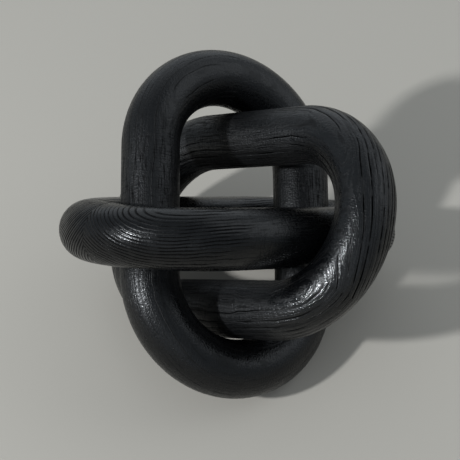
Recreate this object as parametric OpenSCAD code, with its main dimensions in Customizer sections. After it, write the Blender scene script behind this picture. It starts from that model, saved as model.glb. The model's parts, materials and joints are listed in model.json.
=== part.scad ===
// Puzzle sculpture: three equal links of round bar, each threaded through the next
// Lengths are in millimetres and angles in degrees
// Z is up, the table is Z = 0, and the middle of the footprint is X = 0, Y = 0

/* [Link] */
// Thickness of the round bar
bar_diameter = 35; // [20:0.5:60]
// Width of a link's opening, from leg to leg
opening_width = 73; // [45:0.5:140]
// Length that the opening has to spare round the link threaded through it
end_play = 4.3; // [0.5:0.1:15]

/* [Glued ends] */
// Thickness of the dowel hidden in each end of a link
dowel_diameter = 10; // [5:0.5:16]
// Length of that dowel
dowel_length = 40; // [16:1:60]
// Bevel on each end of the dowel
dowel_bevel = 1; // [0.5:0.25:2]
// Room for glue all round the dowel
dowel_fit = 0.05; // [0.02:0.01:0.2]
// Room for glue past each end of the dowel
dowel_well = 1; // [0.5:0.5:4]
// Thickness of the glue line between the two halves of a link
glue_line = 0.1; // [0.05:0.05:0.3]
// Angle past the top of the bend that the back link's upper half reaches
back_seam_angle = 0; // [-45:1:45]
// Angle past the top of the bend that the right link's upper half reaches
right_seam_angle = 40; // [-45:1:45]
// Angle past the top of the bend that the left link's upper half reaches
left_seam_angle = -5; // [-45:1:45]

/* [Settled pose] */
// Least gap between two links as they lie
rest_gap = 0.6; // [0.4:0.1:2]
// Angle that a link's long way dips from the square pose
dip_angle = 7.45; // [0:0.05:15]
// Angle that a link's face leans from the square pose
lean_angle = 11.19; // [0:0.05:20]
// Distance that a link slips along, the way its raised end points
slip_along = 3.83; // [0:0.01:10]
// Distance that a link slips sideways
slip_aside = 3.74; // [0:0.01:10]

/* [Hidden] */
$fn = 96;

stain = [0.06, 0.06, 0.065];
beech = [0.80, 0.62, 0.43];

// The compass angle that each link's raised end points to: 0 is +X and 90 is +Y
back_angle = 90;
right_angle = back_angle - 120;
left_angle = back_angle - 240;

// Sizes of one link: its opening takes the neighbour's two legs, one at each end
bar_radius = bar_diameter / 2;
link_width = opening_width + 2 * bar_diameter;
opening_length = link_width + 2 * rest_gap + end_play;
link_length = opening_length + 2 * bar_diameter;
bend_radius = (opening_width + bar_diameter) / 2;
straight = link_length - link_width;
dowel_hole_diameter = dowel_diameter + 2 * dowel_fit;
dowel_hole_length = dowel_length + 2 * dowel_well;

// In the square pose the three links lie at right angles and balance on one corner
square_rise = asin(1 / sqrt(3));
square_roll = 45;

// Points round a link's centre line, in its own axes: long way X, short way Y
bend_step_angle = 2;
leg_step = 0.1;
centre_points = [
    for (side = [-1, 1]) each concat(
        [for (a = [-90:bend_step_angle:90]) [side * (straight / 2 + bend_radius * cos(a)), bend_radius * sin(a), 0]],
        [for (t = [-1:leg_step:1]) [t * straight / 2, side * bend_radius, 0]]
    )
];

// Distance from a point in a link's own axes to that link's centre line
function to_centre_line(p) =
    norm([norm([max(abs(p.x) - straight / 2, 0), p.y]) - bend_radius, p.z]);

// A vector turned about the upright axis
function turned(v, a) = [v.x * cos(a) - v.y * sin(a), v.x * sin(a) + v.y * cos(a), v.z];

// A link's pose for a share of the full settling: 0 is square, 1 is as measured
function rise(share) = square_rise - share * dip_angle;
function roll(share) = square_roll - share * lean_angle;
function slip(share) = share * [slip_along, slip_aside, 0];
function link_centre(share, heading) = turned(slip(share), heading);
function link_axes(share, heading) =
    let (r = rise(share), q = roll(share)) [
        turned([cos(r), 0, sin(r)], heading),
        turned([-sin(r) * sin(q), cos(q), cos(r) * sin(q)], heading),
        turned([-sin(r) * cos(q), -sin(q), cos(r) * cos(q)], heading)
    ];

// The gap between neighbours, and the furthest that they can settle with rest_gap left
function neighbour_gap(share) =
    let (
        mine = link_axes(share, back_angle),
        theirs = link_axes(share, right_angle),
        apart = link_centre(share, back_angle) - link_centre(share, right_angle)
    )
    min([for (p = centre_points) to_centre_line(theirs * (p * mine + apart))]) - bar_diameter;
function settle(low, high, steps) =
    steps == 0 ? low :
    let (middle = (low + high) / 2)
    neighbour_gap(middle) >= rest_gap
        ? settle(middle, high, steps - 1)
        : settle(low, middle, steps - 1);
settled = settle(0, 3, 24);

// How far the three links reach in a direction, which puts them on the table and centres them
function link_reach(heading, way) =
    let (axes = link_axes(settled, heading))
    link_centre(settled, heading) * way
        + straight / 2 * abs(axes[0] * way)
        + bend_radius * norm([axes[0] * way, axes[1] * way])
        + bar_radius;
function reach(way) =
    max([for (heading = [back_angle, right_angle, left_angle]) link_reach(heading, way)]);
middle_x = (reach([1, 0, 0]) - reach([-1, 0, 0])) / 2;
middle_y = (reach([0, 1, 0]) - reach([0, -1, 0])) / 2;
lift = reach([0, 0, -1]);

// Stand a piece of a link where that link lies
module in_link(heading) {
    translate([-middle_x, -middle_y, lift])
        rotate([0, 0, heading])
            translate(slip(settled))
                rotate([0, -rise(settled), 0])
                    rotate([roll(settled), 0, 0])
                        children();
}

// Stand a piece on the glued face at one end of a link: 1 is the raised end and -1 the low end
module at_seam(end, seam_angle) {
    translate([end * straight / 2, 0, 0])
        rotate([0, 0, -seam_angle])
            translate([end * bend_radius, 0, 0])
                children();
}

// A leg with part of a bend at each end, bored at its two glued faces
module half_link(seam_angle) {
    difference() {
        union() {
            translate([0, bend_radius, 0])
                rotate([0, 90, 0])
                    cylinder(d = bar_diameter, h = straight, center = true);
            for (end = [0, 1])
                translate([(end - 0.5) * straight, 0, 0])
                    mirror([end, 0, 0])
                        rotate([0, 0, 90])
                            rotate_extrude(angle = 90 + (2 * end - 1) * seam_angle)
                                translate([bend_radius, 0])
                                    circle(d = bar_diameter);
        }
        for (end = [-1, 1])
            at_seam(end, seam_angle) {
                translate([-bar_diameter, glue_line / 2 - bar_diameter, -bar_diameter])
                    cube([2 * bar_diameter, bar_diameter, 2 * bar_diameter]);
                rotate([90, 0, 0])
                    cylinder(d = dowel_hole_diameter, h = dowel_hole_length, center = true);
            }
    }
}

// The upper half holds the higher leg, and the lower half is the same piece turned over
module upper_half(heading, seam_angle) {
    in_link(heading) half_link(seam_angle);
}

module lower_half(heading, seam_angle) {
    in_link(heading) rotate([0, 0, 180]) half_link(seam_angle);
}

// A round dowel with bevelled ends, lying across a glued end
module dowel() {
    bevelled_end = dowel_diameter - 2 * dowel_bevel;
    barrel = dowel_length - 2 * dowel_bevel;
    rotate([90, 0, 0]) {
        cylinder(d = dowel_diameter, h = barrel, center = true);
        for (end = [0, 1])
            mirror([0, 0, end])
                translate([0, 0, barrel / 2])
                    cylinder(d1 = dowel_diameter, d2 = bevelled_end, h = dowel_bevel);
    }
}

module raised_dowel(heading, seam_angle) {
    in_link(heading) at_seam(1, seam_angle) dowel();
}

module low_dowel(heading, seam_angle) {
    in_link(heading) at_seam(-1, seam_angle) dowel();
}

// The back link, whose raised end points away from the viewer
module back_link_upper_half() { color(stain) upper_half(back_angle, back_seam_angle); }
module back_link_lower_half() { color(stain) lower_half(back_angle, back_seam_angle); }
module back_link_raised_dowel() { color(beech) raised_dowel(back_angle, back_seam_angle); }
module back_link_low_dowel() { color(beech) low_dowel(back_angle, back_seam_angle); }

// The right link, whose raised end points to the right and forward
module right_link_upper_half() { color(stain) upper_half(right_angle, right_seam_angle); }
module right_link_lower_half() { color(stain) lower_half(right_angle, right_seam_angle); }
module right_link_raised_dowel() { color(beech) raised_dowel(right_angle, right_seam_angle); }
module right_link_low_dowel() { color(beech) low_dowel(right_angle, right_seam_angle); }

// The left link, whose raised end points to the left and forward
module left_link_upper_half() { color(stain) upper_half(left_angle, left_seam_angle); }
module left_link_lower_half() { color(stain) lower_half(left_angle, left_seam_angle); }
module left_link_raised_dowel() { color(beech) raised_dowel(left_angle, left_seam_angle); }
module left_link_low_dowel() { color(beech) low_dowel(left_angle, left_seam_angle); }

back_link_upper_half();
back_link_lower_half();
back_link_raised_dowel();
back_link_low_dowel();
right_link_upper_half();
right_link_lower_half();
right_link_raised_dowel();
right_link_low_dowel();
left_link_upper_half();
left_link_lower_half();
left_link_raised_dowel();
left_link_low_dowel();
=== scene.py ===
# %% [markdown]
# # Three wooden links, threaded through one another
#
# The object is a tabletop puzzle sculpture: three equal links of round bar, in black-stained open-grained
# wood, lying loosely through one another. The solids were made first, and this file dresses them: it gives
# each link the brushed relief and the satin black finish that the photograph shows.
#
# The packed model is loaded as a fixed frame. Its own box is kept at once, because the dressed model
# mustn't grow out of it.

# %% Load the packed model
import json
import math

import bpy
import numpy as np
from mathutils import Matrix, Vector


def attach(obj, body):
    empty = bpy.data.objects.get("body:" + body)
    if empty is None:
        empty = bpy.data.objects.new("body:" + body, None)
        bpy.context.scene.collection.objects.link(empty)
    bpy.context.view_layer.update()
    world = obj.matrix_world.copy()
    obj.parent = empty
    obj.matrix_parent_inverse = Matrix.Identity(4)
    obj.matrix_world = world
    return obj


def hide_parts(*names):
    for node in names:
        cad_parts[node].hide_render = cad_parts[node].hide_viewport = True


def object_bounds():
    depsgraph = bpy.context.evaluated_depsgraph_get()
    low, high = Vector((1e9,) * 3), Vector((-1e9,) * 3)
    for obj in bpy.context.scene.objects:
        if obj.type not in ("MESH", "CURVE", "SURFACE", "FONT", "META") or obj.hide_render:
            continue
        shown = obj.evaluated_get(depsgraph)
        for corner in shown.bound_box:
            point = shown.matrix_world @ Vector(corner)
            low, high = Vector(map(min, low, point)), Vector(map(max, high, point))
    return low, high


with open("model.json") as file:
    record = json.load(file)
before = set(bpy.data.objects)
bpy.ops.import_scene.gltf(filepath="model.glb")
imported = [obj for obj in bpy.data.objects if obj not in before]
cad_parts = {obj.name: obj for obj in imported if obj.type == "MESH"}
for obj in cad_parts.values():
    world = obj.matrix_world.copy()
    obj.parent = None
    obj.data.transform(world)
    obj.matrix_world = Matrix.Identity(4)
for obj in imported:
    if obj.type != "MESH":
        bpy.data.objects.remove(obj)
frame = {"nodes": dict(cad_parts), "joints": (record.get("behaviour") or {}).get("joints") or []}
cad_low, cad_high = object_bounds()
MM = 0.001
print("solids:", sorted(frame["nodes"]))
print("solid box in mm:", [round(side / MM, 1) for side in cad_high - cad_low])

# %% [markdown]
# ## The camera
#
# The photograph looks down on the set from a little above half a right angle, with a long lens and the
# horizon tipped by a few degrees. A camera could be aimed with a tracking constraint, but a constraint keeps
# the horizon level, so the three directions of the camera are worked out here and put into its matrix.

# %% Camera at the photograph's angle
CAMERA_PLACE = Vector((32.38, -549.99, 648.57)) * MM
CAMERA_AZIMUTH = 3.55
CAMERA_ELEVATION = 46.75
CAMERA_ROLL = 3.83
CAMERA_LENS = 102.13
CAMERA_SENSOR = 36


def way_to(azimuth, elevation):
    """The direction to a place at these angles in degrees, where azimuth 0 is in front."""
    azimuth, elevation = math.radians(azimuth), math.radians(elevation)
    return Vector((
        math.sin(azimuth) * math.cos(elevation),
        -math.cos(azimuth) * math.cos(elevation),
        math.sin(elevation),
    ))


def camera_axes(azimuth, elevation, roll):
    """The camera's right, up and back directions, as the columns of a matrix."""
    back = way_to(azimuth, elevation)
    right = way_to(azimuth + 90, 0)
    up = back.cross(right)
    roll = math.radians(roll)
    rolled_right = math.cos(roll) * right - math.sin(roll) * up
    rolled_up = math.sin(roll) * right + math.cos(roll) * up
    return Matrix((rolled_right, rolled_up, back)).transposed()


lens = bpy.data.cameras.new("camera")
lens.lens = CAMERA_LENS
lens.sensor_width = CAMERA_SENSOR
camera = bpy.data.objects.new("camera", lens)
bpy.context.scene.collection.objects.link(camera)
aim = camera_axes(CAMERA_AZIMUTH, CAMERA_ELEVATION, CAMERA_ROLL)
camera.matrix_world = Matrix.Translation(CAMERA_PLACE) @ aim.to_4x4()
bpy.context.scene.camera = camera
print("camera is", round(CAMERA_PLACE.length, 3), "m from the middle of the table")

# %% [markdown]
# ## Where each link lies
#
# Each link is the same: two straight legs and two round bends. Its own axes are the long way, the short way
# and the way its flat face looks. The three links are one link turned by a third of a circle about the
# upright middle of the set, where the packed hinges stand too, so one pose and three headings give them all.
#
# To be sure that these axes are those of the solids, the corners of one packed half of each link are measured
# from its centre line: each should be half a bar away, or lie in a glued face or a bore.

# %% The three links' own axes
BAR = 35 * MM
OPENING = 73 * MM
LINK_LENGTH = 218.5 * MM
BEND = (OPENING + BAR) / 2
STRAIGHT = LINK_LENGTH - OPENING - 2 * BAR
RISE = math.radians(27.893)
LEAN = math.radians(33.927)
SLIP_ALONG = 3.790 * MM
SLIP_ASIDE = 3.701 * MM
HEADINGS = {"back_link": 90, "right_link": -30, "left_link": -150}
NEAR_SKIN = 0.4 * BAR
hinge_place = frame["joints"][0]["pos_m"]
set_middle = Vector((hinge_place[0], hinge_place[1], (cad_low.z + cad_high.z) / 2))


def link_matrix(heading):
    """A link's place and its long, short and facing directions, in the packed frame."""
    turn = Matrix.Rotation(math.radians(heading), 4, "Z")
    slip = Matrix.Translation((SLIP_ALONG, SLIP_ASIDE, 0))
    rise = Matrix.Rotation(-RISE, 4, "Y")
    lean = Matrix.Rotation(LEAN, 4, "X")
    return Matrix.Translation(set_middle) @ turn @ slip @ rise @ lean


def from_centre_line(points):
    """How far points in a link's own axes are from its centre line."""
    past_leg = np.maximum(np.abs(points[:, 0]) - STRAIGHT / 2, 0)
    return np.hypot(np.hypot(past_leg, points[:, 1]) - BEND, points[:, 2])


def corners_in(node, axes):
    """The corners of a packed solid in a link's own axes."""
    mesh = frame["nodes"][node].data
    corners = np.empty(3 * len(mesh.vertices))
    mesh.vertices.foreach_get("co", corners)
    back = np.array(axes.inverted())
    return corners.reshape(-1, 3) @ back[:3, :3].T + back[:3, 3]


for link, heading in HEADINGS.items():
    away = from_centre_line(corners_in(link + "_upper_half", link_matrix(heading)))
    on_bar = away[away > NEAR_SKIN]
    print(link, "bar measures", round(2 * on_bar.min() / MM, 2), "to", round(2 * on_bar.max() / MM, 2), "mm")

# %% [markdown]
# ## The wood of each half
#
# A link can't be bent from one length and closed, so each is two halves, glued at a bend. In each half the
# grain runs along its own leg, and the growth rings are shells round the pith, the middle of the tree. Where
# the bend cuts across the shells, the rings show as sweeping lines: a chevron where two halves of the left
# link meet, long hooks on the right link.
#
# The lines could be painted one by one, but it is simpler and truer to say where the pith was and count the
# shells from it. A ring number is a distance from the pith over the ring width. A slow sway along the grain,
# wide ripples and short wiggles are added, so that no line is ruler-straight.
#
# Where the skin runs nearly along a shell, one ring spreads over a wide strip. So the distance from line to
# line is measured on the skin too: the grooves and the finish both need it.

# %% Growth rings
# The pith's place aside and above, the ring width, the sway and its wave are in millimetres
WOOD = {
    "back_link_upper_half": {
        "pith": (21, 420), "ring": 2.6, "sway": 0.5, "wave": 60, "wiggle": 0.01, "even": 0.1, "seed": 3},
    "back_link_lower_half": {
        "pith": (39, -330), "ring": 2.6, "sway": 0.5, "wave": 60, "wiggle": 0.01, "even": 0.1, "seed": 5},
    "right_link_upper_half": {
        "pith": (17, -166.7), "ring": 3.3, "sway": 0.3, "wave": 70, "wiggle": 0.016, "even": 0.4, "seed": 11},
    "right_link_lower_half": {
        "pith": (49, 63.9), "ring": 3.7, "sway": 0.3, "wave": 70, "wiggle": 0.016, "even": 0.5, "seed": 12},
    "left_link_upper_half": {
        "pith": (52, 50), "ring": 1.9, "sway": 0.1, "wave": 70, "wiggle": 0.03, "even": 0.75, "seed": 21},
    "left_link_lower_half": {
        "pith": (52, 50), "ring": 1.9, "sway": 0.1, "wave": 70, "wiggle": 0.03, "even": 0.75, "seed": 22},
}
TURN = 2 * np.pi
SWAY_START = (0, 6)
RIPPLES = 6
RIPPLE = 0.03
RIPPLE_LENGTH = (35, 110)
RIPPLE_WIDTH = (20, 60)
WIGGLES = 4
WIGGLE_LENGTH = (9, 20)
WIGGLE_WIDTH = (10, 30)
WIDEST_SPREAD = 16 * MM


def ring_numbers(points, wood):
    """How many growth rings lie between the pith and each point of a half, in its own axes."""
    draw = np.random.default_rng(wood["seed"])
    along, aside, above = points.T / MM
    sway = wood["sway"] * np.sin(TURN * along / wood["wave"] + draw.uniform(*SWAY_START))
    shell = np.hypot(aside - wood["pith"][0], above - wood["pith"][1] + sway) / wood["ring"]
    for ripple in range(RIPPLES):
        length = draw.uniform(*RIPPLE_LENGTH)
        width = draw.uniform(*RIPPLE_WIDTH)
        tilt = draw.uniform(0, TURN)
        across = aside * np.cos(tilt) + above * np.sin(tilt)
        phase = draw.uniform(0, TURN)
        shell += RIPPLE * np.sin(TURN * (along / length + across / width) + phase)
    for wiggle in range(WIGGLES):
        length = draw.uniform(*WIGGLE_LENGTH)
        width = draw.uniform(*WIGGLE_WIDTH)
        phase = draw.uniform(0, TURN)
        shell += wood["wiggle"] * np.sin(TURN * (along / length + above / width) + phase)
    return shell


def ring_spread(rings, skin):
    """The distance along the skin from each growth line to the next, at every point of the skin's rows."""
    row_step = np.linalg.norm(np.gradient(skin, axis=0), axis=2)
    girth_step = np.linalg.norm(skin - np.roll(skin, 1, axis=1), axis=2)
    along = np.gradient(rings, axis=0) / row_step
    around = (np.roll(rings, -1, axis=1) - np.roll(rings, 1, axis=1)) / 2 / girth_step
    return 1 / np.maximum(np.hypot(along, around), 1 / WIDEST_SPREAD)


print("ring widths in mm:", sorted({wood["ring"] for wood in WOOD.values()}))

# %% [markdown]
# ## A half of a link, brushed
#
# A wire brush wears the soft early wood of each ring away and leaves the hard late wood proud, so the bar
# isn't smooth: it carries shallow grooves. A bump map alone would fake that, but it leaves the outline and
# the mesh smooth. Here the half is a fine skin of rows, sewn station by station along the bar, and
# each point is sunk by the depth of its groove. Only sinking is allowed, so the piece stays inside its solid.

# %% Stations along a half
AROUND = 264
BEND_STEP = 0.56 * MM
LEG_STEP = 2.2 * MM
GLUE = 0.02 * MM


def stations(seam):
    """Along a half: the middle of the bar, and the way out of the bend."""
    start = GLUE / 2 / BEND - seam
    stop = math.pi - seam - GLUE / 2 / BEND
    first = np.linspace(start, math.pi / 2, round((math.pi / 2 - start) * BEND / BEND_STEP))
    last = np.linspace(math.pi / 2, stop, round((stop - math.pi / 2) * BEND / BEND_STEP))
    leg = np.linspace(STRAIGHT / 2, -STRAIGHT / 2, round(STRAIGHT / LEG_STEP))[1:-1]
    angle = np.concatenate([first, np.full(len(leg), math.pi / 2), last])
    shift = np.concatenate([0 * first + STRAIGHT / 2, leg, 0 * last - STRAIGHT / 2])
    out = np.stack([np.cos(angle), np.sin(angle), 0 * angle], axis=1)
    middle = BEND * out
    middle[:, 0] += shift
    return middle, out


middle, out = stations(0)
print(len(middle), "stations of", AROUND, "points make a half")

# %% [markdown]
# A groove falls steeply where its ring starts, and rises more slowly to the hard edge of the ring. Between
# two lines the wood is a little crowned. The brush opens some rings more than others, and each ring by turns
# more and less along its length. A groove fades out where its ring lies wide on the skin, because the brush
# finds no edge to catch on there, and on the left link it fades along the smooth leg as well.
#
# The grooves could be carved one by one, but a depth that is worked out from the ring number carves them all.

# %% Depth of the brushed grooves
# Depths, widths and fades are in millimetres
GROOVES = {
    "back_link": {
        "deep": 0.05, "fall": 0.45, "rise": 0.7, "crown": 0.02, "widest": 16, "fade": (8, 13), "leg": 1},
    "right_link": {
        "deep": 0.50, "fall": 0.55, "rise": 1.2, "crown": 0.07, "widest": 16, "fade": (8, 13), "leg": 1},
    "left_link": {
        "deep": 0.32, "fall": 0.40, "rise": 1.0, "crown": 0.0, "widest": 2.4, "fade": (2.2, 6), "leg": 0.07},
}
KNOWN_RINGS = 256
RARITY = 1.5
STEADY = 0.65
BEAT_LENGTH = 70 * MM
LEG_FADE = (25, 75)


def eased(value, low, high):
    """Ease from 0 to 1 as a value goes from low to high."""
    share = np.clip((value - low) / (high - low), 0, 1)
    return share * share * (3 - 2 * share)


def line_strength(rings, spread, along, wood, groove):
    """How much the brush opened each ring at each point, from 0 to 1."""
    draw = np.random.default_rng(wood["seed"])
    chance = draw.uniform(0, 1, KNOWN_RINGS)
    phase = draw.uniform(0, TURN, KNOWN_RINGS)
    which = np.floor(rings).astype(int) % KNOWN_RINGS
    strength = wood["even"] + (1 - wood["even"]) * chance[which] ** RARITY
    strength = strength * (STEADY + (1 - STEADY) * np.sin(TURN * along / BEAT_LENGTH + phase[which]))
    strength = strength * (1 - eased(spread / MM, *groove["fade"]))
    return strength * (groove["leg"] + (1 - groove["leg"]) * eased(np.abs(along) / MM, *LEG_FADE))


def groove_depth(rings, spread, along, wood, groove):
    """How far the brush sank each point: a steep fall where a ring starts, then a slower rise."""
    part = rings - np.floor(rings)
    start = part * np.minimum(spread / MM, groove["widest"])
    bottom = groove["fall"]
    dip = eased(start, 0, bottom) - eased(start, bottom, bottom + groove["rise"])
    crown = groove["crown"] * (2 * part - 1) ** 2 * (1 - eased(spread / MM, *groove["fade"]))
    return MM * (crown + groove["deep"] * dip * line_strength(rings, spread, along, wood, groove))


print("deepest grooves in mm:", {link: groove["deep"] for link, groove in GROOVES.items()})

# %% [markdown]
# The skin also closes over the glued faces and down the two bores where the dowels sit, so it is one shut
# surface. Blender could unwrap a texture map for it, but this skin unrolls by itself: length goes across the
# map and girth goes up it, with a narrow strip at each end for the hidden rows.

# %% Rows of the skin
BORE = 10.1 / 2 * MM
BORE_DEPTH = 21 * MM
HIDDEN_SHARE = 0.04


def row_shares(middle):
    """Each row's place across the map: the stations by their length, the bores' rows in the end strips."""
    step = np.linalg.norm(np.diff(middle, axis=0), axis=1)
    length = np.concatenate([[0], np.cumsum(step)]) / step.sum()
    bore = np.array([HIDDEN_SHARE / 3, 2 * HIDDEN_SHARE / 3])
    return np.concatenate([bore, HIDDEN_SHARE + (1 - 2 * HIDDEN_SHARE) * length, 1 - bore[::-1]])


def half_skin(seam, wood, groove):
    """The rows of a half's skin, the two poles that close it, its rows' map shares, and its lines' spread."""
    middle, out = stations(seam)
    girth = TURN * np.arange(AROUND) / AROUND
    facing = np.array([0, 0, 1])
    way = np.cos(girth)[None, :, None] * out[:, None, :] + np.sin(girth)[None, :, None] * facing
    skin = middle[:, None, :] + BAR / 2 * way
    rings = ring_numbers(skin.reshape(-1, 3), wood).reshape(len(middle), AROUND)
    spread = ring_spread(rings, skin)
    skin = skin - groove_depth(rings, spread, skin[:, :, 0], wood, groove)[:, :, None] * way
    inward = np.array([[-out[0, 1], out[0, 0], 0], [out[-1, 1], -out[-1, 0], 0]])
    mouth = [middle[end] + BORE * way[end] for end in (0, -1)]
    floor = [mouth[end] + BORE_DEPTH * inward[end] for end in (0, 1)]
    skin = np.concatenate([[floor[0]], [mouth[0]], skin, [mouth[1]], [floor[1]]])
    poles = np.stack([middle[0] + BORE_DEPTH * inward[0], middle[-1] + BORE_DEPTH * inward[1]])
    spread = np.pad(spread, ((2, 2), (0, 0)), "edge").ravel()
    spread = np.concatenate([spread, spread[:2]])
    return skin, poles, row_shares(middle), spread


shares = row_shares(middle)
print("rows go across the map from", round(shares[0], 3), "to", round(shares[-1], 3))

# %% Faces and their map
def half_faces(rows):
    """Four-sided faces between the rows, and a fan of three-sided ones at each end."""
    row, column = np.meshgrid(np.arange(rows - 1), np.arange(AROUND), indexing="ij")
    beside = (column + 1) % AROUND
    quads = np.stack([
        row * AROUND + column, row * AROUND + beside,
        (row + 1) * AROUND + beside, (row + 1) * AROUND + column,
    ], axis=-1).reshape(-1, 4)
    rim = np.arange(AROUND)
    after = (rim + 1) % AROUND
    last = (rows - 1) * AROUND
    first_pole = rows * AROUND
    fans = np.concatenate([
        np.stack([np.full(AROUND, first_pole), after, rim], axis=1),
        np.stack([np.full(AROUND, first_pole + 1), last + rim, last + after], axis=1),
    ])
    return quads, fans


def half_map(shares):
    """Where each corner of each face lies on the unrolled skin: length across, girth up."""
    rows = len(shares)
    row, column = np.meshgrid(np.arange(rows - 1), np.arange(AROUND), indexing="ij")
    low, high = column / AROUND, (column + 1) / AROUND
    near, far = shares[row], shares[row + 1]
    quads = np.stack([near, low, near, high, far, high, far, low], axis=-1).reshape(-1, 2)
    rim = np.arange(AROUND) / AROUND
    after = rim + 1 / AROUND
    half = rim + 0.5 / AROUND
    start, stop = np.full(AROUND, shares[0]), np.full(AROUND, shares[-1])
    fans = np.concatenate([
        np.stack([0 * rim, half, start, after, start, rim], axis=1).reshape(-1, 2),
        np.stack([0 * rim + 1, half, stop, rim, stop, after], axis=1).reshape(-1, 2),
    ])
    return np.concatenate([quads, fans])


quads, fans = half_faces(len(shares))
print(len(quads), "four-sided and", len(fans), "three-sided faces make a half")

# %% [markdown]
# Each half is made where it lies, rides on its link's body and takes the place of the solid half. The lower
# half is the upper one turned over, with wood of its own. Edges that lie on a rim stay sharp, so that the
# smooth shading of the bar doesn't run over into the glued face.

# %% The six halves
HALVES = {"upper_half": 0, "lower_half": 180}
SEAM_TURN = {"back_link": 0, "right_link": 40, "left_link": -5}


def mark_rims(mesh, rows):
    """Keep the edges round each glued face and each bore sharp."""
    ends = np.empty(2 * len(mesh.edges), np.int32)
    mesh.edges.foreach_get("vertices", ends)
    row = ends.reshape(-1, 2) // AROUND
    same_row = row[:, 0] == row[:, 1]
    rims = [0, 1, 2, rows - 3, rows - 2, rows - 1]
    mesh.edges.foreach_set("use_edge_sharp", same_row & np.isin(row[:, 0], rims))


def store_wood(mesh, points, spread, wood, groove):
    """Store each point's ring number, the strength and spread of its line, and its place in the grain."""
    rings = ring_numbers(points, wood)
    stored = {
        "ring": rings,
        "line": line_strength(rings, spread, points[:, 0], wood, groove),
        "spread": np.minimum(spread / MM, groove["widest"]),
    }
    for label, values in stored.items():
        layer = mesh.attributes.new(label, "FLOAT", "POINT")
        layer.data.foreach_set("value", values.astype(np.float32))
    grain = mesh.attributes.new("grain", "FLOAT_VECTOR", "POINT")
    grain.data.foreach_set("vector", points.astype(np.float32).ravel())


def make_half(name, axes, seam, wood, groove):
    """One half of a link in its place, with what its finish will read and its map."""
    skin, poles, shares, spread = half_skin(seam, wood, groove)
    points = np.concatenate([skin.reshape(-1, 3), poles])
    quads, fans = half_faces(len(skin))
    corners = np.concatenate([quads.ravel(), fans.ravel()]).astype(np.int32)
    sizes = np.concatenate([np.full(len(quads), 4), np.full(len(fans), 3)])
    starts = np.concatenate([[0], np.cumsum(sizes)[:-1]]).astype(np.int32)
    placed = points @ np.array(axes)[:3, :3].T + np.array(axes)[:3, 3]
    mesh = bpy.data.meshes.new(name)
    mesh.vertices.add(len(points))
    mesh.vertices.foreach_set("co", placed.astype(np.float32).ravel())
    mesh.loops.add(len(corners))
    mesh.loops.foreach_set("vertex_index", corners)
    mesh.polygons.add(len(sizes))
    mesh.polygons.foreach_set("loop_start", starts)
    mesh.update(calc_edges=True)
    mesh.polygons.foreach_set("use_smooth", np.ones(len(sizes), bool))
    mark_rims(mesh, len(skin))
    store_wood(mesh, points, spread, wood, groove)
    unrolled = mesh.uv_layers.new(name="OFBake")
    unrolled.uv.foreach_set("vector", half_map(shares).astype(np.float32).ravel())
    mesh.validate()
    half = bpy.data.objects.new(name, mesh)
    bpy.context.scene.collection.objects.link(half)
    return half


halves = {}
for link, heading in HEADINGS.items():
    for half, turn in HALVES.items():
        node = link + "_" + half
        axes = link_matrix(heading) @ Matrix.Rotation(math.radians(turn), 4, "Z")
        seam = math.radians(SEAM_TURN[link])
        piece = make_half(node + "_brushed", axes, seam, WOOD[node], GROOVES[link])
        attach(piece, link)
        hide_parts(node)
        halves[node] = piece
        print(piece.name, "has", len(piece.data.polygons), "faces")

# %% [markdown]
# ## Sums with sockets
#
# A finish is a net of nodes, and most of those nodes do sums. Written one by one they are hard to read, so a
# socket is wrapped in a small class whose plus, minus and times add the Math nodes. Every other kind of node
# comes from one method, which sets the node up and then fills or links its sockets.

# %% A socket that Python can do sums with
class Value:
    """An output socket in a material's nodes."""

    def __init__(self, tree, socket=None):
        self.tree = tree
        self.socket = socket

    def node(self, kind, settings=None, inputs=None, output=0):
        """Add a node, set it up, fill or link its sockets, and give one of its outputs."""
        made = self.tree.nodes.new(kind)
        for setting, choice in (settings or {}).items():
            setattr(made, setting, choice)
        for socket, value in (inputs or {}).items():
            if isinstance(value, Value):
                self.tree.links.new(value.socket, made.inputs[socket])
            else:
                made.inputs[socket].default_value = value
        return Value(self.tree, made.outputs[output])

    def sum(self, operation, first, second):
        """A Math node with two inputs."""
        return self.node("ShaderNodeMath", {"operation": operation}, {0: first, 1: second})

    def __add__(self, other):
        return self.sum("ADD", self, other)

    __radd__ = __add__

    def __sub__(self, other):
        return self.sum("SUBTRACT", self, other)

    def __rsub__(self, other):
        return self.sum("SUBTRACT", other, self)

    def __mul__(self, other):
        return self.sum("MULTIPLY", self, other)

    __rmul__ = __mul__

    def clamped(self):
        """This value, kept from 0 to 1."""
        return self.node("ShaderNodeClamp", {}, {"Value": self})

    def smooth(self, low, high, start=0.0, stop=1.0):
        """Ease from start to stop as this value goes from low to high."""
        settings = {"interpolation_type": "SMOOTHSTEP"}
        inputs = {"Value": self, "From Min": low, "From Max": high, "To Min": start, "To Max": stop}
        return self.node("ShaderNodeMapRange", settings, inputs)

    def mixed(self, first, second):
        """The first colour where this value is 0, and the second where it is 1."""
        return self.node("ShaderNodeMix", {"data_type": "RGBA"}, {0: self, 6: first, 7: second}, 2)

    def stretched(self, along, across):
        """This place, with so many features to the metre along the grain and across it."""
        settings = {"operation": "MULTIPLY"}
        return self.node("ShaderNodeVectorMath", settings, {0: self, 1: (along, across, across)})

    def noise(self, detail=1.0, roughness=0.5):
        """Cloudy noise, from 0 to 1, at this place."""
        inputs = {"Vector": self, "Scale": 1.0, "Detail": detail, "Roughness": roughness}
        return self.node("ShaderNodeTexNoise", {}, inputs, "Fac")

    def patches(self, fine, cut, **cloud):
        """Patches of a fineness at this place, cut out of noise."""
        return self.stretched(*fine).noise(**cloud).smooth(*cut)


def blank_material(name):
    """A new material, its shader, and a value to start its nodes from."""
    material = bpy.data.materials.new(name)
    material.use_nodes = True
    shader = material.node_tree.nodes["Principled BSDF"]
    return material, shader, Value(material.node_tree)


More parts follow.
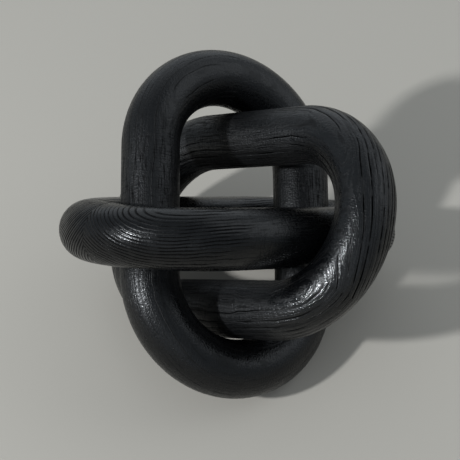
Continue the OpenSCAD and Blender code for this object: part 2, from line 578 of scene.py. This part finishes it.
def feed(shader, **values):
    """Link values to the shader's sockets."""
    for socket, value in values.items():
        name = socket.replace("_", " ")
        value.tree.links.new(value.socket, shader.inputs[name])


print("operators ready:", [name for name in vars(Value) if name.startswith("__r")])

# %% [markdown]
# ## Marks in the wood
#
# Open-grained wood is full of marks. Pores are long thin tubes along the grain, short ticks lie across it,
# and layers of harder and softer wood follow the rings. They could be drawn by hand, but noise that is
# stretched along the half's own long axis gives streaks on the legs and dots where the bend cuts the grain
# end on, with no further work. The nodes read what was stored on each point, so the groove that is painted
# here is the groove that is already in the mesh.
#
# For each link a table says how many millimetres into its ring a painted groove ends, how broken it is, how
# open the pores are, what share of that the bend keeps, and how often the layers change in a ring.

# %% Where the marks are
MARKS = {
    "back_link": {"end": 0.8, "dash": 0.6, "pore": 0.9, "bend": 0.25, "streak": 5},
    "right_link": {"end": 1.3, "dash": 0.65, "pore": 0.6, "bend": 0.6, "streak": 7},
    "left_link": {"end": 1.2, "dash": 0.4, "pore": 0.4, "bend": 0.6, "streak": 2},
}
# Features to the metre along the grain and across it, and the two levels of noise between which a mark starts
BREAKS = {"fine": (45, 140), "cut": (0.36, 0.58), "detail": 2.0}
ZONES = {"fine": (14, 70), "cut": (0.38, 0.62)}
TUBES = {"fine": (90, 1100), "cut": (0.54, 0.66)}
TICKS = {"fine": (1000, 170), "cut": (0.50, 0.66)}
LAYERS = (25, 60)
FIBRES = (60, 900)
GRIT = (700, 1200)
# Millimetres into a ring over which a painted groove starts, and up to which it is whole
GROOVE_START = (0.0, 0.06)
GROOVE_WHOLE = 0.4
# The strength of line that paints a whole groove, and how open the pores stay in a shut zone
WHOLE_LINE = 0.4
SHUT_ZONE = 0.3
LEG_END = (30 * MM, 70 * MM)


def stored(start, label, output="Fac"):
    """What was stored on the points under a label."""
    return start.node("ShaderNodeAttribute", {"attribute_name": label}, output=output)


def wood_marks(start, end, dash, pore, bend, streak):
    """How strong each mark is, from 0 to 1, and where the leg is."""
    place = stored(start, "grain", "Vector")
    count = stored(start, "ring")
    into_ring = count.node("ShaderNodeMath", {"operation": "FRACT"}, {0: count}) * stored(start, "spread")
    groove = into_ring.smooth(*GROOVE_START) * into_ring.smooth(GROOVE_WHOLE, end, 1.0, 0.0)
    groove = groove * stored(start, "line").smooth(0.0, WHOLE_LINE)
    groove = groove * (1 - dash + dash * place.patches(**BREAKS))
    along = place.node("ShaderNodeSeparateXYZ", {}, {0: place})
    past_middle = along.node("ShaderNodeMath", {"operation": "ABSOLUTE"}, {0: along})
    leg = past_middle.smooth(*LEG_END, 1.0, 0.0)
    openness = pore * (bend + (1 - bend) * leg)
    tubes = place.patches(**TUBES) * (SHUT_ZONE + (1 - SHUT_ZONE) * place.patches(**ZONES))
    layers = start.node(
        "ShaderNodeTexNoise", {"noise_dimensions": "4D"},
        {"Vector": place.stretched(*LAYERS), "W": streak * count, "Scale": 1.0, "Detail": 2.0}, "Fac")
    return {
        "groove": groove,
        "pores": tubes * openness,
        "ticks": place.patches(**TICKS) * openness,
        "layers": layers,
        "fibres": place.stretched(*FIBRES).noise(3.0, 0.6),
        "grit": place.stretched(*GRIT).noise(),
        "leg": leg,
    }


print("finest grit in mm:", round(1 / max(GRIT) / MM, 2))

# %% [markdown]
# ## Black-stained, brushed and lacquered wood
#
# The stain is almost black, so what the eye sees is mostly the satin lacquer: bright on the proud late wood,
# dull in the grooves, broken into streaks by the layers and into sparks by the grit. One even gloss would
# look like plastic, so each mark makes the surface a little duller and a little lower.
#
# The mesh and the bump are too shallow to shade the grooves, pores and ticks, so painted shade is laid in
# them, and between the layers, by taking their gloss away. The shader's gloss level is one number for a
# whole link, so Metallic does the work: a metal reflects only in its own colour, here almost black.

# %% The three stained finishes
# Next to last in each row: how dark the painted shade in the grooves is
LACQUER = {
    "back_link": {
        "layer": 0.5, "sparkle": 0.55, "dull": 0.30, "leg_dull": 0.12, "groove_shade": 0.15, "gloss": 0.36},
    "right_link": {
        "layer": 1.2, "sparkle": 0.60, "dull": 0.20, "leg_dull": 0.20, "groove_shade": 0.8, "gloss": 0.47},
    "left_link": {
        "layer": 0.2, "sparkle": 0.15, "dull": 0.26, "leg_dull": 0.0, "groove_shade": 0.7, "gloss": 0.35},
}
LATE_WOOD = (0.0020, 0.0023, 0.0028, 1)
# The groove colour is the early wood's own dark tone with painted shade of the groove added to it
EARLY_WOOD_AND_SHADE = (0.0003, 0.0003, 0.0004, 1)
PORE_SHADOW = (0.0008, 0.0008, 0.0009, 1)
FIBRE_CUT = (0.25, 0.75)
FIBRE_SHADE = (0.45, 1.0)
# How much each mark dulls the surface, sinks it, and lays painted shade on it by taking its gloss away
MARK_DULL = {"groove": 0.50, "pores": 0.30, "ticks": 0.12}
MARK_SUNK = {"groove": 0.60, "pores": 0.25, "ticks": 0.12}
MARK_SHADE = {"pores": 0.50, "ticks": 0.25}
LAYER_DULL = 0.18
# Painted shade between the layers, laid by taking their gloss away
LAYER_SHADE = 0.35
LAYER_PROUD = 0.50
FIBRE_PROUD = 0.20
GRIT_SHINE = 0.10
# The levels between which a layer turns dull and then takes painted shade, grit shines, and a groove takes
# painted shade
DULL_CUT = (0.42, 0.60)
SHADE_CUT = (0.52, 0.64)
SHINE_CUT = (0.40, 0.62)
GROOVE_SHADE_CUT = (0.1, 0.9)
RELIEF = {"Strength": 0.8, "Distance": 0.5 * MM}


def weighted(marks, weights):
    """The sum of some marks, each times its weight."""
    return sum(weight * marks[name] for name, weight in weights.items())


def stained_wood(link, layer, sparkle, dull, leg_dull, groove_shade, gloss):
    """Charcoal wood whose soft rings are brushed out and dull, and whose hard rings shine."""
    material, shader, start = blank_material(link + "_stain")
    marks = wood_marks(start, **MARKS[link])
    layers, fibres, grit = marks["layers"], marks["fibres"], marks["grit"]
    # Grooves take the early wood colour, which carries painted shade; pores take the painted pore shadow
    wood = marks["pores"].mixed(marks["groove"].mixed(LATE_WOOD, EARLY_WOOD_AND_SHADE), PORE_SHADOW)
    shade = fibres.smooth(*FIBRE_CUT, *FIBRE_SHADE)
    grey = start.node("ShaderNodeCombineColor", {}, {0: shade, 1: shade, 2: shade})
    darken = {"data_type": "RGBA", "blend_type": "MULTIPLY"}
    wood = start.node("ShaderNodeMix", darken, {0: 1.0, 6: wood, 7: grey}, 2)
    dullness = dull + leg_dull * marks["leg"] + weighted(marks, MARK_DULL)
    dullness = dullness + LAYER_DULL * layer * layers.smooth(*DULL_CUT)
    dullness = dullness - GRIT_SHINE * grit.smooth(*SHINE_CUT)
    height = 1 - weighted(marks, MARK_SUNK) + FIBRE_PROUD * fibres
    height = height + LAYER_PROUD * layer * layers + sparkle * grit
    relief = start.node("ShaderNodeBump", {}, {"Height": height, **RELIEF})
    # Painted shade: grooves, pores, ticks and the gaps between layers lose their gloss, so they look as dark
    # as if shaded
    painted_shade = groove_shade * marks["groove"].smooth(*GROOVE_SHADE_CUT) + weighted(marks, MARK_SHADE)
    painted_shade = painted_shade + LAYER_SHADE * layer * layers.smooth(*SHADE_CUT)
    feed(shader, Base_Color=wood, Roughness=dullness.clamped(), Metallic=painted_shade.clamped(), Normal=relief)
    shader.inputs["Specular IOR Level"].default_value = gloss
    return material


for link, look in LACQUER.items():
    stain = stained_wood(link, **look)
    for half in HALVES:
        halves[link + "_" + half].data.materials.append(stain)
    print(stain.name, "has", len(stain.node_tree.nodes), "nodes")

# %% [markdown]
# ## The dowels
#
# A dowel is hidden across each glued face. It is a plain turned stick of pale beech, whose shape is already
# right in the solids, so no mesh is made for it. It gets a finish of its own, with faint streaks and small
# dark flecks, so that it looks like bare wood when a half is hidden.

# %% Plain beech
BEECH_PALE = (0.62, 0.42, 0.25, 1)
BEECH_DARK = (0.42, 0.25, 0.13, 1)
STREAKS = {"fine": (300, 900), "cut": (0.35, 0.70), "detail": 3.0, "roughness": 0.6}
FLECKS = {"fine": (1400, 2600), "cut": (0.60, 0.70)}
STREAK_DARK = 0.6
FLECK_DARK = 0.4
BEECH_DULL = 0.55
FLECK_DULL = 0.2
BEECH_RELIEF = {"Strength": 0.3, "Distance": 0.1 * MM}


def plain_beech():
    """Unfinished beech with fine streaks and small flecks."""
    material, shader, start = blank_material("plain_beech")
    place = start.node("ShaderNodeTexCoord", output="Object")
    flecks = place.patches(**FLECKS)
    dark = STREAK_DARK * place.patches(**STREAKS) + FLECK_DARK * flecks
    wood = dark.mixed(BEECH_PALE, BEECH_DARK)
    relief = start.node("ShaderNodeBump", {}, {"Height": 1 - flecks, **BEECH_RELIEF})
    feed(shader, Base_Color=wood, Roughness=BEECH_DULL + FLECK_DULL * flecks, Normal=relief)
    return material


beech = plain_beech()
for name, node in frame["nodes"].items():
    if name.endswith("dowel"):
        node.material_slots[0].material = beech
print("dowels:", [name for name in frame["nodes"] if name.endswith("dowel")])

# %% [markdown]
# ## Floor and light
#
# The set lies on a plain pale floor, one matt square that is large enough to fill the picture. The light is
# plain too. An even pale surround could do it all, but then a black object shows little form, so a small lamp
# at the left and front lays the streaks of gloss on the bars and the shadow to the right, and three broad
# weak lamps at the front, at the right and behind lift the sides that it misses. The lamps themselves are
# hidden from the camera, and they are as bright as brings the floor out at about its own colour.

# %% Floor
FLOOR_SIDE = 8.0
FLOOR_COLOUR = (0.46, 0.43, 0.38, 1)
FLOOR_DULL = 0.9
FLOOR_GLOSS = 0.1
edge = FLOOR_SIDE / 2
floor_corners = [(-edge, -edge, 0), (edge, -edge, 0), (edge, edge, 0), (-edge, edge, 0)]
floor_mesh = bpy.data.meshes.new("floor")
floor_mesh.from_pydata(floor_corners, [], [(0, 1, 2, 3)])
floor = bpy.data.objects.new("floor", floor_mesh)
bpy.context.scene.collection.objects.link(floor)
paint, floor_shader = blank_material("pale_floor")[:2]
floor_shader.inputs["Base Color"].default_value = FLOOR_COLOUR
floor_shader.inputs["Roughness"].default_value = FLOOR_DULL
floor_shader.inputs["Specular IOR Level"].default_value = FLOOR_GLOSS
floor_mesh.materials.append(paint)
print("floor is", FLOOR_SIDE, "m across")

# %% Light
SURROUND = 0.38
SURROUND_COLOUR = (0.81, 0.91, 1.0, 1)
LAMP_COLOUR = (0.92, 0.96, 1.0)
LAMPS = {
    "key_lamp": {"azimuth": -57.5, "elevation": 33, "distance": 2.4, "size": 0.14, "power": 52},
    "front_lamp": {"azimuth": 0, "elevation": 25, "distance": 2.2, "size": 1.6, "power": 3.0},
    "right_lamp": {"azimuth": 108, "elevation": 36, "distance": 2.2, "size": 2.0, "power": 8.5},
    "back_lamp": {"azimuth": -175, "elevation": 24, "distance": 2.2, "size": 2.8, "power": 9.5},
}


def add_lamp(name, azimuth, elevation, distance, size, power):
    """A square lamp that looks at the middle of the set."""
    lamp = bpy.data.lights.new(name, "AREA")
    lamp.size = size
    lamp.energy = power
    lamp.color = LAMP_COLOUR
    way = way_to(azimuth, elevation)
    holder = bpy.data.objects.new(name, lamp)
    holder.location = set_middle + distance * way
    holder.visible_camera = False
    holder.rotation_mode = "QUATERNION"
    holder.rotation_quaternion = (-way).to_track_quat("-Z", "Y")
    bpy.context.scene.collection.objects.link(holder)


for name, lamp in LAMPS.items():
    add_lamp(name, **lamp)
surround = bpy.data.worlds.new("surround")
surround.use_nodes = True
backdrop = surround.node_tree.nodes["Background"]
backdrop.inputs["Color"].default_value = SURROUND_COLOUR
backdrop.inputs["Strength"].default_value = SURROUND
bpy.context.scene.world = surround
bpy.context.scene.view_settings.view_transform = "Standard"
print("surround", SURROUND, "and", len(LAMPS), "lamps")

# %% [markdown]
